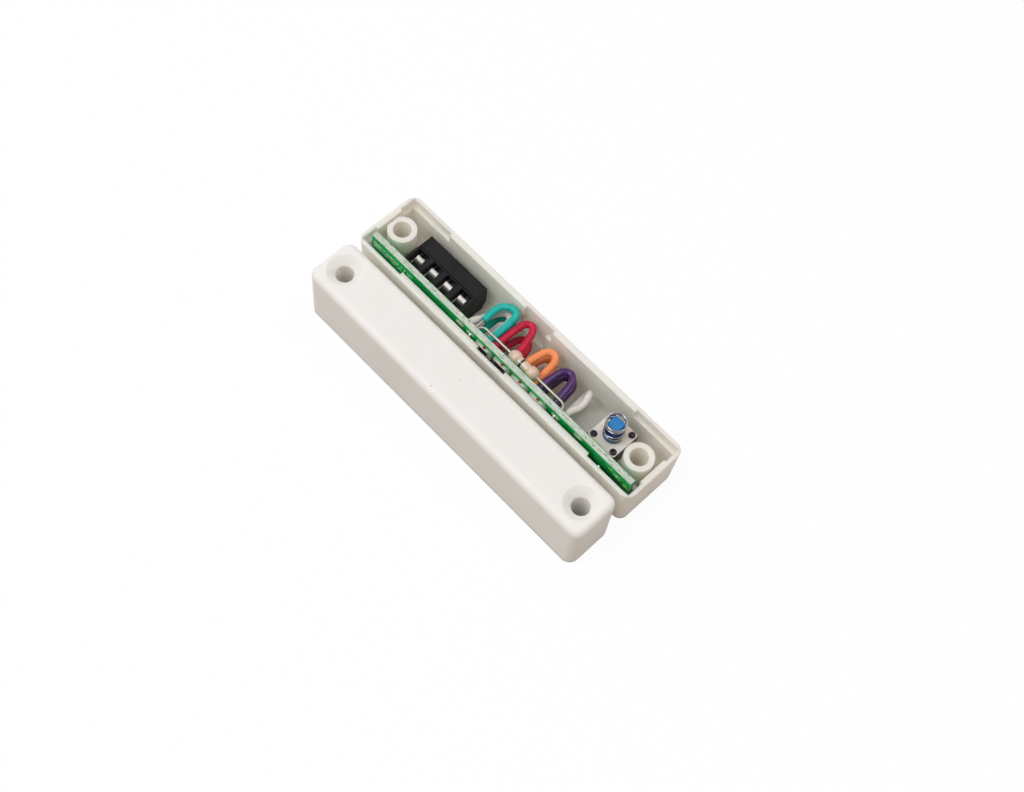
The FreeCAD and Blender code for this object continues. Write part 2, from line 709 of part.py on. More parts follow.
def make_terminal_metal():
    """Clamp cages with their pins, the wire guards and the clamp screws, one each per pole."""
    half = value("window_width") / 2 - value("fit_clearance")
    wall = value("cage_wall")
    low = value("cavity_low") + value("seat_gap")
    high = value("cavity_high") - value("seat_gap")
    near = value("board_far") + value("block_base")
    far = value("board_far") + value("cage_reach")
    axis = value("screw_height")
    bend = value("guard_bend")
    thick = value("guard_thickness")
    guard_face = value("board_far") + value("guard_place")
    guard_low = low + wall + 0.3
    guard_high = high - bend
    cages, guards, screws = [], [], []
    for x in pole_places():
        cage = block((x - half, x + half), (near, far), (low, high - value("cage_drop")))
        cage = cage.cut(block((x - half + wall, x + half - wall), (near + wall, far - 2 * wall),
                              (low - 1, high + 1)))
        bore = value("screw_diameter") + 2 * value("running_clearance")
        cage = cage.cut(rod(bore, (x, far - 3 * wall, axis), (x, far + 1, axis)))
        pin = rod(value("terminal_pin"), (x, near + wall, axis), (x, value("pin_end"), axis))
        cages.append(cage.fuse(pin).removeSplitter())

        arc_middle = Vector(x, guard_face + bend, guard_high)
        outline = []
        for radius in (bend, bend - thick):
            ends = [arc_middle + Vector(0, -radius, 0), arc_middle + Vector(0, 0, radius)]
            slant = radius * math.sqrt(0.5)
            middle = arc_middle + Vector(0, -slant, slant)
            outline.append((ends, Part.Arc(ends[0], middle, ends[1]).toShape()))
        foot = [Vector(x, guard_face, guard_low), Vector(x, guard_face + thick, guard_low)]
        (outer_ends, outer_arc), (inner_ends, inner_arc) = outline
        edges = [Part.LineSegment(foot[0], outer_ends[0]).toShape(), outer_arc,
                 Part.LineSegment(outer_ends[1], inner_ends[1]).toShape(), inner_arc,
                 Part.LineSegment(inner_ends[0], foot[1]).toShape(),
                 Part.LineSegment(foot[1], foot[0]).toShape()]
        strip = Part.Face(Part.Wire(Part.__sortEdges__(edges)))
        width = value("guard_width")
        guard = strip.extrude(Vector(width, 0, 0))
        guard.translate(Vector(-width / 2, 0, 0))
        guards.append(guard)

        tip = guard_face + thick
        head_low = value("block_far") - value("screw_head_height") - 0.1
        head = rod(value("screw_head_diameter"), (x, head_low, axis), (x, value("block_far") - 0.1, axis))
        screw = head.fuse(rod(value("screw_diameter"), (x, tip, axis), (x, head_low, axis)))
        slot = value("screw_slot")
        wide = value("screw_head_diameter")
        screw = screw.cut(block((x - wide, x + wide), (value("block_far") - 0.1 - slot, value("block_far")),
                                (axis - slot / 2, axis + slot / 2)))
        screws.append(screw.removeSplitter())
    put_feature("terminal_contacts", Part.makeCompound(cages))
    put_feature("wire_guards", Part.makeCompound(guards))
    put_feature("terminal_screws", Part.makeCompound(screws))


def make_loop_conductors():
    size = value("conductor_diameter")
    stubs = []
    for x, y, z in loop_ends():
        stubs.append(rod(size, (x, y - value("seat_gap"), z), (x, value("pin_end"), z)))
    put_feature("loop_conductors", Part.makeCompound(stubs))


def make_link_resistor():
    x, y, z = value("link_middle"), value("link_y"), value("link_height")
    half = value("link_length") / 2
    bulge = value("link_bulge") / 2
    waist = value("link_waist") / 2
    lead = value("link_lead") / 2
    # half outline along the axis: ball ends with a short crown, and a waist between them
    outer = half - math.sqrt(bulge ** 2 - lead ** 2)
    inner = outer - value("link_crown")
    neck = inner - math.sqrt(bulge ** 2 - waist ** 2)
    end_turn = math.asin(lead / bulge)
    neck_turn = math.asin(waist / bulge)

    def ball_arc(centre, first, last):
        circle = Part.Circle(Vector(centre, 0, 0), Vector(0, 0, 1), bulge)
        return Part.ArcOfCircle(circle, first, last).toShape()

    edges = [ball_arc(outer, end_turn, math.pi / 2),
             ball_arc(inner, math.pi / 2, math.pi - neck_turn),
             ball_arc(-outer, math.pi / 2, math.pi - end_turn),
             ball_arc(-inner, neck_turn, math.pi / 2)]
    for side in (-1, 1):
        edges.append(Part.LineSegment(Vector(side * half, 0, 0), Vector(side * half, lead, 0)).toShape())
        edges.append(Part.LineSegment(Vector(side * inner, bulge, 0),
                                      Vector(side * outer, bulge, 0)).toShape())
    edges.append(Part.LineSegment(Vector(-neck, waist, 0), Vector(neck, waist, 0)).toShape())
    edges.append(Part.LineSegment(Vector(-half, 0, 0), Vector(half, 0, 0)).toShape())
    outline = Part.Face(Part.Wire(Part.__sortEdges__(edges)))
    body = outline.revolve(Vector(0, 0, 0), Vector(1, 0, 0), 360)
    body.translate(Vector(x, y, z))
    put_feature("link_resistor", body)
    leads = []
    for side in (-1, 1):
        hole = x + side * value("link_pitch") / 2
        route = [(x + side * half, y, z), (hole, y, z), (hole, value("pin_end"), z)]
        leads.append(tube_along(route, value("link_lead"), bend=1.2))
    put_feature("link_resistor_leads", Part.makeCompound(leads))


def make_chip_resistors():
    length, width, thick, cap = (value("chip_length"), value("chip_width"),
                                 value("chip_thickness"), value("chip_cap"))
    face = value("board_near")
    bodies, caps = [], []
    depth = (face - thick, face)
    height = (value("chip_height") - width / 2, value("chip_height") + width / 2)
    for number in range(4):
        x = value("chip_first") + number * value("chip_pitch")
        bodies.append(block((x - length / 2 + cap, x + length / 2 - cap), depth, height))
        caps.append(block((x - length / 2, x - length / 2 + cap), depth, height))
        caps.append(block((x + length / 2 - cap, x + length / 2), depth, height))
    put_feature("chip_resistors", Part.makeCompound(bodies))
    put_feature("chip_end_caps", Part.makeCompound(caps))


# Tamper switch
def make_tamper_switch():
    body = new_body("tamper_switch_body")
    outline = new_sketch(body, "tamper_outline", offset="base_bottom")
    add_rectangle(outline, "-(tamper_side / 2 + tamper_flange)", "tamper_side / 2 + tamper_flange",
                  "-tamper_side / 2", "tamper_side / 2")
    case = add_pad(body, outline, "tamper_base_height")
    case = add_chamfer(body, case, "tamper_case_corners", rises, "tamper_corner / 2")
    chamber = new_sketch(body, "tamper_chamber", offset="base_top")
    add_circle(chamber, "0", "0", "flange_diameter + 2 * fit_clearance")
    add_pocket(body, chamber, "base_top - chamber_floor")
    studs = new_sketch(body, "tamper_studs", offset="base_top - 0.1")
    for across in ("-stud_spacing / 2", "stud_spacing / 2"):
        for up in ("-stud_spacing / 2", "stud_spacing / 2"):
            add_circle(studs, across, up, "stud_diameter")
    add_pad(body, studs, "tamper_plate + stud_rise + 0.1")

    plate = new_body("tamper_switch_plate")
    sheet_outline = new_sketch(plate, "tamper_plate_outline", offset="base_top")
    add_rectangle(sheet_outline, "-tamper_side / 2", "tamper_side / 2",
                  "-tamper_side / 2", "tamper_side / 2")
    sheet_metal = add_pad(plate, sheet_outline, "tamper_plate")
    add_chamfer(plate, sheet_metal, "tamper_plate_corners", rises, "tamper_corner")
    holes = new_sketch(plate, "tamper_plate_holes", offset="tamper_face")
    for across in ("-stud_spacing / 2", "stud_spacing / 2"):
        for up in ("-stud_spacing / 2", "stud_spacing / 2"):
            add_circle(holes, across, up, "stud_diameter + 2 * running_clearance")
    add_circle(holes, "0", "0", "plunger_diameter + 2 * running_clearance")
    add_pocket(plate, holes)

    for piece in (body, plate):
        bind(piece, "Placement.Base.x", "tamper_place")
        bind(piece, "Placement.Base.y", "switch_y + tamper_y")


def make_tamper_pins():
    width, thick = value("pin_width"), value("pin_thickness")
    near_face = value("tamper_y") - value("tamper_side") / 2
    pins = []
    for side in (-1, 1):
        x = value("tamper_place") + side * value("stud_spacing") / 2
        across = (x - width / 2, x + width / 2)
        low = value("base_bottom") - thick
        under = (value("pin_end"), near_face + 0.75 * value("tamper_side"))
        pins.append(block(across, under, (low, low + thick)))
        middle = value("base_top") - 3 * thick
        pins.append(block(across, (value("pin_end"), near_face), (middle - thick / 2, middle + thick / 2)))
    put_feature("tamper_switch_pins", Part.makeCompound(pins))


def stands_on_collar(edge):
    """The four upright edges of the plunger's square stem."""
    box = edge.BoundBox
    return rises(edge) and box.ZMin > value("collar_top") - 0.01 and box.ZLength > 1


def make_tamper_plunger():
    body = new_body("tamper_plunger")
    profile = new_sketch(body, "plunger_profile", role="XZ_Plane")
    add_polygon(profile, [
        ("0", "flange_bottom - 0.25"),
        ("plunger_diameter / 4", "flange_bottom - 0.25"),
        ("plunger_diameter / 2", "flange_bottom"),
        ("flange_diameter / 2", "flange_bottom"),
        ("flange_diameter / 2", "flange_top"),
        ("plunger_diameter / 2", "flange_top"),
        ("plunger_diameter / 2", "collar_bottom"),
        ("plunger_collar / 2", "collar_bottom"),
        ("plunger_collar / 2", "collar_top"),
        ("0", "collar_top")])
    turned = body.newObject("PartDesign::Revolution", "plunger_turned")
    turned.Profile = profile
    turned.ReferenceAxis = (profile, ["V_Axis"])
    turned.Angle = 360
    doc.recompute()
    square = new_sketch(body, "stem_outline", offset="collar_top - 0.1")
    add_rectangle(square, "-stem_side / 2", "stem_side / 2", "-stem_side / 2", "stem_side / 2")
    stem = add_pad(body, square, "plunger_top - collar_top + 0.1")
    stem = add_fillet(body, stem, "stem_corners", stands_on_collar, "stem_corner")
    add_fillet(body, stem, "stem_top", lies_at(value("plunger_top")), "stem_corner / 3")
    bind(body, "Placement.Base.x", "tamper_place")
    bind(body, "Placement.Base.y", "switch_y + tamper_y")


def make_tamper_dome():
    """The dished snap disc under the plunger."""
    rim = value("flange_diameter") / 2 - value("seat_gap")
    rise = value("dome_rise")
    thick = value("dome_thickness")
    low = value("chamber_floor")
    radius = (rim ** 2 + rise ** 2) / (2 * rise)
    centre = Vector(0, 0, low + rise - radius)
    outer = Part.makeSphere(radius, centre)
    inner = Part.makeSphere(radius - thick, centre)
    slab = block((-rim, rim), (-rim, rim), (low, low + rise + 0.01))
    dome = outer.cut(inner).common(slab)
    dome.translate(Vector(value("tamper_place"), value("tamper_y"), 0))
    put_feature("tamper_dome", dome)


def make_tamper_spring():
    wire = value("spring_wire")
    radius = value("spring_inner") / 2 + wire / 2
    foot, middle, head = (value("spring_foot_turns"), value("spring_open_turns"),
                          value("spring_head_turns"))
    close = wire + value("spring_coil_gap")
    free = value("spring_length") - wire
    wide = (free - close * (foot + head)) / middle
    low = value("collar_top") + wire / 2
    # the closed coils at both ends run smoothly into the open ones
    steps = 16
    points = []
    height = 0.0
    for step in range(round((foot + middle + head) * steps) + 1):
        here = (step - 0.5) / steps
        inside = min(here - foot, foot + middle - here)
        share = min(max(inside / 0.5 + 0.5, 0.0), 1.0)
        height += (close + (wide - close) * share) / steps if step else 0.0
        turn = 2 * math.pi * step / steps
        points.append(Vector(radius * math.cos(turn), radius * math.sin(turn), height))
    stretch = free / height
    points = [Vector(point.x, point.y, point.z * stretch) for point in points]
    coil = Part.BSplineCurve()
    coil.interpolate(points)
    start = coil.tangent(coil.FirstParameter)[0]
    ring = Part.Wire([Part.Circle(points[0], start, wire / 2).toShape()])
    spring = Part.Wire([coil.toShape()]).makePipeShell([ring], True, True)
    spring.translate(Vector(value("tamper_place"), value("tamper_y"), low))
    put_feature("tamper_spring", spring)


# Reed switch: a sealed glass tube with two overlapping blades
def make_reed_switch():
    y, z = value("reed_y"), value("reed_height")
    half = value("reed_length") / 2
    outer = value("reed_diameter") / 2
    inner = outer - value("reed_wall")
    lead = value("reed_lead") / 2
    seal = 1.2
    edges = []
    for side in (-1, 1):
        tip = Vector(side * half, lead, 0)
        shoulder = Vector(side * (half - 0.8), outer, 0)
        slant = Vector(side * (half - 0.25), outer * 0.72, 0)
        edges.append(Part.Arc(tip, slant, shoulder).toShape())
        edges.append(Part.LineSegment(tip, Vector(side * (half - seal), lead, 0)).toShape())
        edges.append(Part.LineSegment(Vector(side * (half - seal), lead, 0),
                                      Vector(side * (half - seal), inner, 0)).toShape())
    edges.append(Part.LineSegment(Vector(0.8 - half, outer, 0), Vector(half - 0.8, outer, 0)).toShape())
    edges.append(Part.LineSegment(Vector(seal - half, inner, 0), Vector(half - seal, inner, 0)).toShape())
    glass = Part.Face(Part.Wire(Part.__sortEdges__(edges))).revolve(Vector(0, 0, 0), Vector(1, 0, 0), 360)
    glass.translate(Vector(0, y, z))
    put_feature("reed_glass", glass)

    blades = []
    overlap = value("reed_overlap") / 2
    blade_thick = 0.25
    blade_width = 1.1
    for side in (-1, 1):
        hole = side * value("reed_pitch") / 2
        start = side * (half - seal - 0.6)
        route = [(start, y, z), (hole, y, z), (hole, value("pin_end"), z)]
        lead_bar = tube_along(route, value("reed_lead"), bend=1.0)
        low_x, high_x = sorted((-side * overlap, start))
        gap = 0.05 if side > 0 else -0.05 - blade_thick
        blade = block((low_x, high_x + 0.2 if side < 0 else high_x),
                      (y - blade_width / 2, y + blade_width / 2), (z + gap, z + gap + blade_thick))
        blades.append(lead_bar.fuse(blade).removeSplitter())
    put_feature("reed_blades", Part.makeCompound(blades))


def make_solder_joints():
    """A cone of solder on the near face round every pin and lead."""
    face = value("board_near")
    spread = value("solder_spread")
    tall = value("pin_tail")
    places_on_board = [(x, value("screw_height"), value("terminal_pin")) for x in pole_places()]
    places_on_board += [(x, z, value("conductor_diameter")) for x, y, z in loop_ends()]
    for side in (-1, 1):
        places_on_board.append((value("link_middle") + side * value("link_pitch") / 2,
                                value("link_height"), value("link_lead")))
        places_on_board.append((side * value("reed_pitch") / 2, value("reed_height"), value("reed_lead")))
    cones = []
    for x, z, pin in places_on_board:
        cone = Part.makeCone(pin / 2 + spread, pin / 2 + 0.05, tall, Vector(x, face, z), Vector(0, -1, 0))
        cones.append(cone.cut(rod(pin, (x, face + tall, z), (x, face - 2 * tall, z))))
    width, thick = value("pin_width"), value("pin_thickness")
    reach = math.hypot(width, thick) / 2
    for side in (-1, 1):
        x = value("tamper_place") + side * value("stud_spacing") / 2
        for z in (value("base_bottom") - thick / 2, value("base_top") - 3 * thick):
            cone = Part.makeCone(reach + spread, reach + 0.05, tall, Vector(x, face, z), Vector(0, -1, 0))
            cones.append(cone.cut(block((x - width / 2, x + width / 2), (face - 2 * tall, face + tall),
                                        (z - thick / 2, z + thick / 2))))
    put_feature("solder_joints", Part.makeCompound(cones))


# Magnet unit
def make_magnet_housing():
    body = new_body("magnet_housing")
    outline = new_sketch(body, "housing_outline")
    add_rectangle(outline, "-magnet_unit_length / 2", "magnet_unit_length / 2",
                  "-magnet_unit_width / 2", "magnet_unit_width / 2")
    shell = add_pad(body, outline, "magnet_unit_height")
    shell = add_fillet(body, shell, "housing_corners", rises, "magnet_unit_corner")
    slope = "atan(magnet_unit_draft / magnet_unit_height)"
    shell = add_draft(body, shell, "housing_wall_draft", slope, widen=False)
    top = value("magnet_unit_height")
    shell = add_fillet(body, shell, "housing_top", lies_at(top), "magnet_unit_rounding")

    hollow = new_sketch(body, "housing_hollow")
    add_rectangle(hollow, "-magnet_inner_x", "magnet_inner_x", "-magnet_inner_y", "magnet_inner_y")
    add_pocket(body, hollow, "roof_bottom", reverse=True)

    tubes = new_sketch(body, "fixing_tubes")
    for end in ("", "-"):
        add_circle(tubes, end + "fixing_x", "0", "fixing_tube")
    add_pad(body, tubes, "roof_bottom + 0.1")

    # cross ribs that the magnet lies against, and the stops at its ends
    ribs = new_sketch(body, "magnet_ribs", offset="magnet_top")
    for step in ("-1.5", "-0.5", "0.5", "1.5"):
        middle = "(%s) * rib_spacing" % step
        add_rectangle(ribs, middle + " - rib_thickness / 2", middle + " + rib_thickness / 2",
                      "-(magnet_inner_y + 0.1)", "magnet_inner_y + 0.1")
    add_pad(body, ribs, "roof_bottom - magnet_top + 0.1")
    stops = new_sketch(body, "magnet_stops", offset="magnet_floor")
    for end in ("", "-"):
        near = end + "(magnet_length / 2 + fit_clearance)"
        far = end + "(magnet_length / 2 + fit_clearance + rib_thickness)"
        add_rectangle(stops, near, far, "-(magnet_inner_y + 0.1)", "magnet_inner_y + 0.1")
    add_pad(body, stops, "roof_bottom - magnet_floor + 0.1")

    bores = new_sketch(body, "fixing_bores", offset="magnet_unit_height")
    for end in ("", "-"):
        add_circle(bores, end + "fixing_x", "0", "fixing_bore")
    add_pocket(body, bores)
    for number, end in enumerate(("", "-"), start=1):
        sink = body.newObject("PartDesign::SubtractiveCone", "countersink_%d" % number)
        sink.AttachmentSupport = [(next(item for item in body.Origin.OriginFeatures
                                        if item.Role == "XY_Plane"), "")]
        sink.MapMode = "FlatFace"
        bind(sink, "AttachmentOffset.Base.x", end + "fixing_x")
        bind(sink, "AttachmentOffset.Base.z", "magnet_unit_height - countersink_depth")
        bind(sink, "Radius1", "fixing_bore / 2")
        bind(sink, "Radius2", "countersink_diameter / 2")
        bind(sink, "Height", "countersink_depth")
        doc.recompute()
    bind(body, "Placement.Base.y", "magnet_y")


def make_bar_magnet():
    bar = doc.addObject("Part::Box", "bar_magnet_block")
    bind(bar, "Length", "magnet_length")
    bind(bar, "Width", "magnet_width")
    bind(bar, "Height", "magnet_height")
    bind(bar, "Placement.Base.x", "-magnet_length / 2")
    bind(bar, "Placement.Base.y", "-magnet_width / 2")
    bind(bar, "Placement.Base.z", "magnet_floor")
    doc.recompute()
    chamfer = doc.addObject("Part::Chamfer", "bar_magnet")
    chamfer.Label = "bar_magnet"
    chamfer.Base = bar
    cut = value("magnet_chamfer")
    lengthwise = [number for number, edge in enumerate(bar.Shape.Edges, start=1)
                  if edge.BoundBox.XLength > 1]
    chamfer.Edges = [(number, cut, cut) for number in lengthwise]
    bind(chamfer, "Placement.Base.y", "magnet_y")


make_switch_base()
make_circuit_board()
make_terminal_block("terminal_block_left", "block_middle - pole_pitch", tongue=True)
make_terminal_block("terminal_block_right", "block_middle + pole_pitch", tongue=False)
make_terminal_metal()
make_wire_loops()
make_loop_conductors()
make_link_resistor()
make_chip_resistors()
make_tamper_switch()
make_tamper_pins()
make_tamper_plunger()
make_tamper_dome()
make_tamper_spring()
make_reed_switch()
make_solder_joints()
make_magnet_housing()
make_bar_magnet()
doc.recompute()

NODES = [
    "switch_base", "circuit_board", "terminal_block_left", "terminal_block_right",
    "terminal_contacts", "wire_guards", "terminal_screws", *loop_routes(),
    "loop_conductors", "link_resistor", "link_resistor_leads", "chip_resistors",
    "chip_end_caps", "solder_joints", "tamper_switch_body", "tamper_switch_plate",
    "tamper_switch_pins", "tamper_plunger", "tamper_dome", "tamper_spring",
    "reed_glass", "reed_blades", "magnet_housing", "bar_magnet",
]

# Every object and every shape is checked before anything is written
for item in doc.Objects:
    if "Invalid" in item.State or "Error" in item.State:
        raise RuntimeError("%s failed: %s" % (item.Name, item.State))
pieces = {}
for node in NODES:
    found = doc.getObjectsByLabel(node)[0]
    shape = found.Shape
    if shape.isNull() or not shape.isValid() or not shape.Solids:
        raise RuntimeError(node + " has no valid solid")
    pieces[node] = shape

os.makedirs("parts", exist_ok=True)
for node, shape in pieces.items():
    shape.exportStep(os.path.join("parts", node + ".step"))
    box = shape.BoundBox
    print("%-22s solids %2d  x %.2f %.2f  y %.2f %.2f  z %.2f %.2f" % (
        node, len(shape.Solids), box.XMin, box.XMax, box.YMin, box.YMax, box.ZMin, box.ZMax))
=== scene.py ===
import bpy
import bmesh
import math
from mathutils import Matrix, Vector


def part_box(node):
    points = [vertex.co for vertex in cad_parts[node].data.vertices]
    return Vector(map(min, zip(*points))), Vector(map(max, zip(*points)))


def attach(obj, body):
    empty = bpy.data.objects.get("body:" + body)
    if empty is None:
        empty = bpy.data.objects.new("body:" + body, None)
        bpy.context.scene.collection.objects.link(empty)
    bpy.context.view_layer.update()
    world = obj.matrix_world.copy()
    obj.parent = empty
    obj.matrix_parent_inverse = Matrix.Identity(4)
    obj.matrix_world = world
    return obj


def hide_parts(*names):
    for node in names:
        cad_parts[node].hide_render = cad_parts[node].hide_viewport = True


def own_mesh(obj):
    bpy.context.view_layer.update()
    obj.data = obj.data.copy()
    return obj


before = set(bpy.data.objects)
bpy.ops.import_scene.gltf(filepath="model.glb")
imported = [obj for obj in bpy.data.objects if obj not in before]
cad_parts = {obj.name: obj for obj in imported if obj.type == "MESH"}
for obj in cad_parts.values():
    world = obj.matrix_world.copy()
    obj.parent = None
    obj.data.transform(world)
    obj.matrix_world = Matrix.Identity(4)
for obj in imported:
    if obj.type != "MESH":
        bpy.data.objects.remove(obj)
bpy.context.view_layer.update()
MM = 0.001
WHITE = (1.0, 1.0, 1.0, 1.0)

# The camera stands where the photograph was taken from
CAMERA_PLACE = Vector((69.718, -86.417, 231.244)) * MM
CAMERA_AIM = Vector((3.780, 1.971, 0.0)) * MM
CAMERA_ROLL = math.radians(10.302)
CAMERA_NEAREST = 0.005
CAMERA_FARTHEST = 20.0
IMAGE_WIDTH = 1024
FOCAL_PIXELS = 1500.0
SENSOR = 36.0

# Two soft lamps: name, place in metres and power in watts
LAMPS = [("key", (-0.2, -0.34, 0.8), 3.25), ("back", (0.12, 0.4, 0.85), 1.2)]
LAMP_SIZE = 0.4
LAMP_COLOUR = (238, 244, 255)

# The world's level runs from the left side to the right, with a warm tint
WORLD_LEFT = 0.66
WORLD_RIGHT = 0.39
WORLD_TINT = (1.05, 0.96, 0.88)

# The floor looks white to the camera, and the light that it gives back is warm
FLOOR_REACH = 3.0
FLOOR_DROP = 0.02 * MM
FLOOR_BOUNCE = (196, 186, 172)
FLOOR_GLOW = 0.94
FLOOR_ROUGHNESS = 0.9

# The part of a noise's range that is used for unevenness, waviness and fine grain
BROAD = (0.35, 0.65)
WAVY = (0.35, 0.7)
FINE = (0.3, 0.7)

# How squarely a face must look along an axis to count as an end, a face or a level top
SQUARE_ON = 0.7
UPWARD = 0.5
LEVEL = 0.9

# How softly a band or a mark ends, and how deep the grain is
BAND_SOFT = 0.01 * MM
MARK_SOFT = 0.04 * MM
SHALLOW = 0.01 * MM
GRAIN_DEPTH = 0.02 * MM
WAVE_DEPTH = 0.03 * MM

# Marks on the magnet unit's top in mm: a faint scratch and two specks, each with its first and
# last point, half width and strength
TOP_MARKS = [((0.15, -4.03), (2.46, -8.43), 0.05, 0.1),
             ((-2.74, -11.3), (-2.70, -11.25), 0.12, 0.5),
             ((-0.52, -7.08), (-0.50, -7.02), 0.11, 0.35)]
MARK_COLOUR = (120, 110, 100)
HOUSING_ROUGH = (0.46, 0.6)
HOUSING_LIGHT_THROUGH = 0.78
HOUSING_LIGHT_TINT = (1.0, 0.99, 0.97)

# The board: its green mask, the printed strokes, and the laminate of the sawn edge
MASK_PLAIN = (0, 164, 78)
MASK_OVER_COPPER = (2, 190, 98)
MASK_FAR_FACE = (8, 188, 84)
# painted shade: the mask's colour low on the board, darker where shade falls
MASK_PAINTED_SHADE = (0, 50, 24)
STROKE_COLOUR = (206, 244, 216)
CORE_DEEP = (182, 198, 180)
CORE_PALE = (214, 223, 208)
CORE_FLECKS = (86, 108, 96)
CORE_LAYERS = (158, 186, 168)
CORE_RIM = (30, 150, 80)
CORE_ENDS = (70, 176, 112)
# where the painted shade lies: heights over which it fades, span along, and its share at each end of that
# span
PAINTED_SHADE_HEIGHTS = (6.6 * MM, 9.9 * MM)
PAINTED_SHADE_ALONG = (-20.0 * MM, 20.0 * MM)
PAINTED_SHADE_SHARES = (0.15, 0.95)
STROKE_ROWS = ((8.2 * MM, 8.75 * MM), (9.05 * MM, 9.75 * MM))
STROKES_ALONG = (-30.4 * MM, -20.7 * MM)
LAYER_PITCH = 0.3 * MM
NEAR_RIM = 0.08 * MM
FAR_RIM = 0.05 * MM
FLECK_SHARE = 0.8
LAYER_SHARE = 0.35
RIM_SHARE = 0.85
END_SHARE = 0.8
MASK_ROUGH = (0.2, 0.3)
EDGE_EXTRA_ROUGH = 0.35

# The link's coating and its black band
LINK_BASE = (228, 204, 184)
LINK_SHADE = (216, 190, 168)
LINK_BAND_COLOUR = (22, 18, 20)
LINK_BAND = (3.22 * MM, 3.62 * MM)
LINK_BAND_SOFT = 0.03 * MM

# The button's pressed face, and its sides painted darker as painted shade
BUTTON_TOP = (38, 134, 200)
BUTTON_TOP_SHADE = (28, 120, 188)
BUTTON_SIDES_PAINTED_SHADE = (9, 62, 144)

# The chips' ceramic and their dark coat, and the reed switch's glass
CHIP_WHITE = (226, 220, 212)
CHIP_WHITE_SHADE = (205, 200, 192)
CHIP_COAT = (34, 26, 34)
GLASS_TINT = (196, 226, 206)
GLASS_IOR = 1.5

# Tamper spring: closed coils at both ends and an open gap between, seated on the button's collar
FOOT_TURNS = 2.5
OPEN_TURNS = 1.5
HEAD_TURNS = 2.0
BLEND_TURNS = 0.5
TURN_STEPS = 48
SPRING_WIRE = 0.28 * MM
WIRE_SIDES = 14
COIL_GAP = 0.05 * MM
COIL_RADIUS = 1.69 * MM
SPRING_SEAT = 8.8 * MM

# Snap disc: how thick it is, and how finely it is divided round and from rim to crown
DISC_THICK = 0.12 * MM
DISC_SIDES = 48
DISC_RINGS = 10

# The row of chips: how many, how far apart, how long with both end caps, and one cap's length
CHIP_COUNT = 4
CHIP_PITCH = 4.25 * MM
CHIP_LENGTH = 3.2 * MM
CAP_LENGTH = 0.45 * MM

# What sits at each chip: how far it lies along, out from the board's face and up from its
# starting place, and its half sizes
GLUE_DOT = {"along": 0.2 * MM, "out": 0.16 * MM, "up": 0.02 * MM,
            "size": (0.32 * MM, 0.2 * MM, 0.24 * MM)}
LEFT_FILLET = {"along": -0.02 * MM, "out": 0.05 * MM, "up": 0.0,
               "size": (0.24 * MM, 0.34 * MM, 0.7 * MM)}
RIGHT_FILLET = {"along": 0.12 * MM, "out": 0.1 * MM, "up": -0.1 * MM,
                "size": (0.62 * MM, 0.62 * MM, 0.98 * MM)}
# painted highlight: a pale solder blob at each chip's left end, brighter than the fillets
GLINT = {"along": 0.3 * MM, "out": 0.3 * MM, "up": -0.02 * MM,
         "size": (0.26 * MM, 0.2 * MM, 0.16 * MM)}

# Solder pads, and pads covered by the mask, on the near face in mm: x, z, half length and half
# height; then how far each kind stands out
SOLDER_PADS = [(-8.86, 9.95, 0.95, 0.46), (-6.41, 9.72, 0.9, 0.5)]
WORN_PADS = [(13.95, 9.72, 0.95, 0.5), (19.1, 10.2, 1.0, 0.36), (28.1, 9.62, 0.42, 0.26)]
MASK_HUMPS = [(28.1, 9.4, 1.1, 0.5), (30.0, 8.9, 0.6, 0.4), (26.7, 9.9, 0.6, 0.3)]
SOLDER_PADS_OUT = 0.22 * MM
WORN_PADS_OUT = 0.27 * MM
MASK_HUMPS_OUT = 0.24 * MM

# The four pegs of the tamper switch: half their spacing, their radius and their dome's rise
STUD_REACH = 2.25 * MM
STUD_RADIUS = 0.6 * MM
STUD_RISE = 0.16 * MM

# How finely blobs are divided: round them, and from pole to pole
SMALL_BLOB = (14, 8)
PAD_BLOB = (20, 12)
WIDE_BLOB = (24, 14)
STUD_BLOB = (24, 10)


def linear(colour):
    """An sRGB colour of 0 to 255 as linear values, by the standard curve."""
    out = []
    for part in colour:
        share = part / 255.0
        out.append(share / 12.92 if share <= 0.04045 else ((share + 0.055) / 1.055) ** 2.4)
    return out + [1.0]


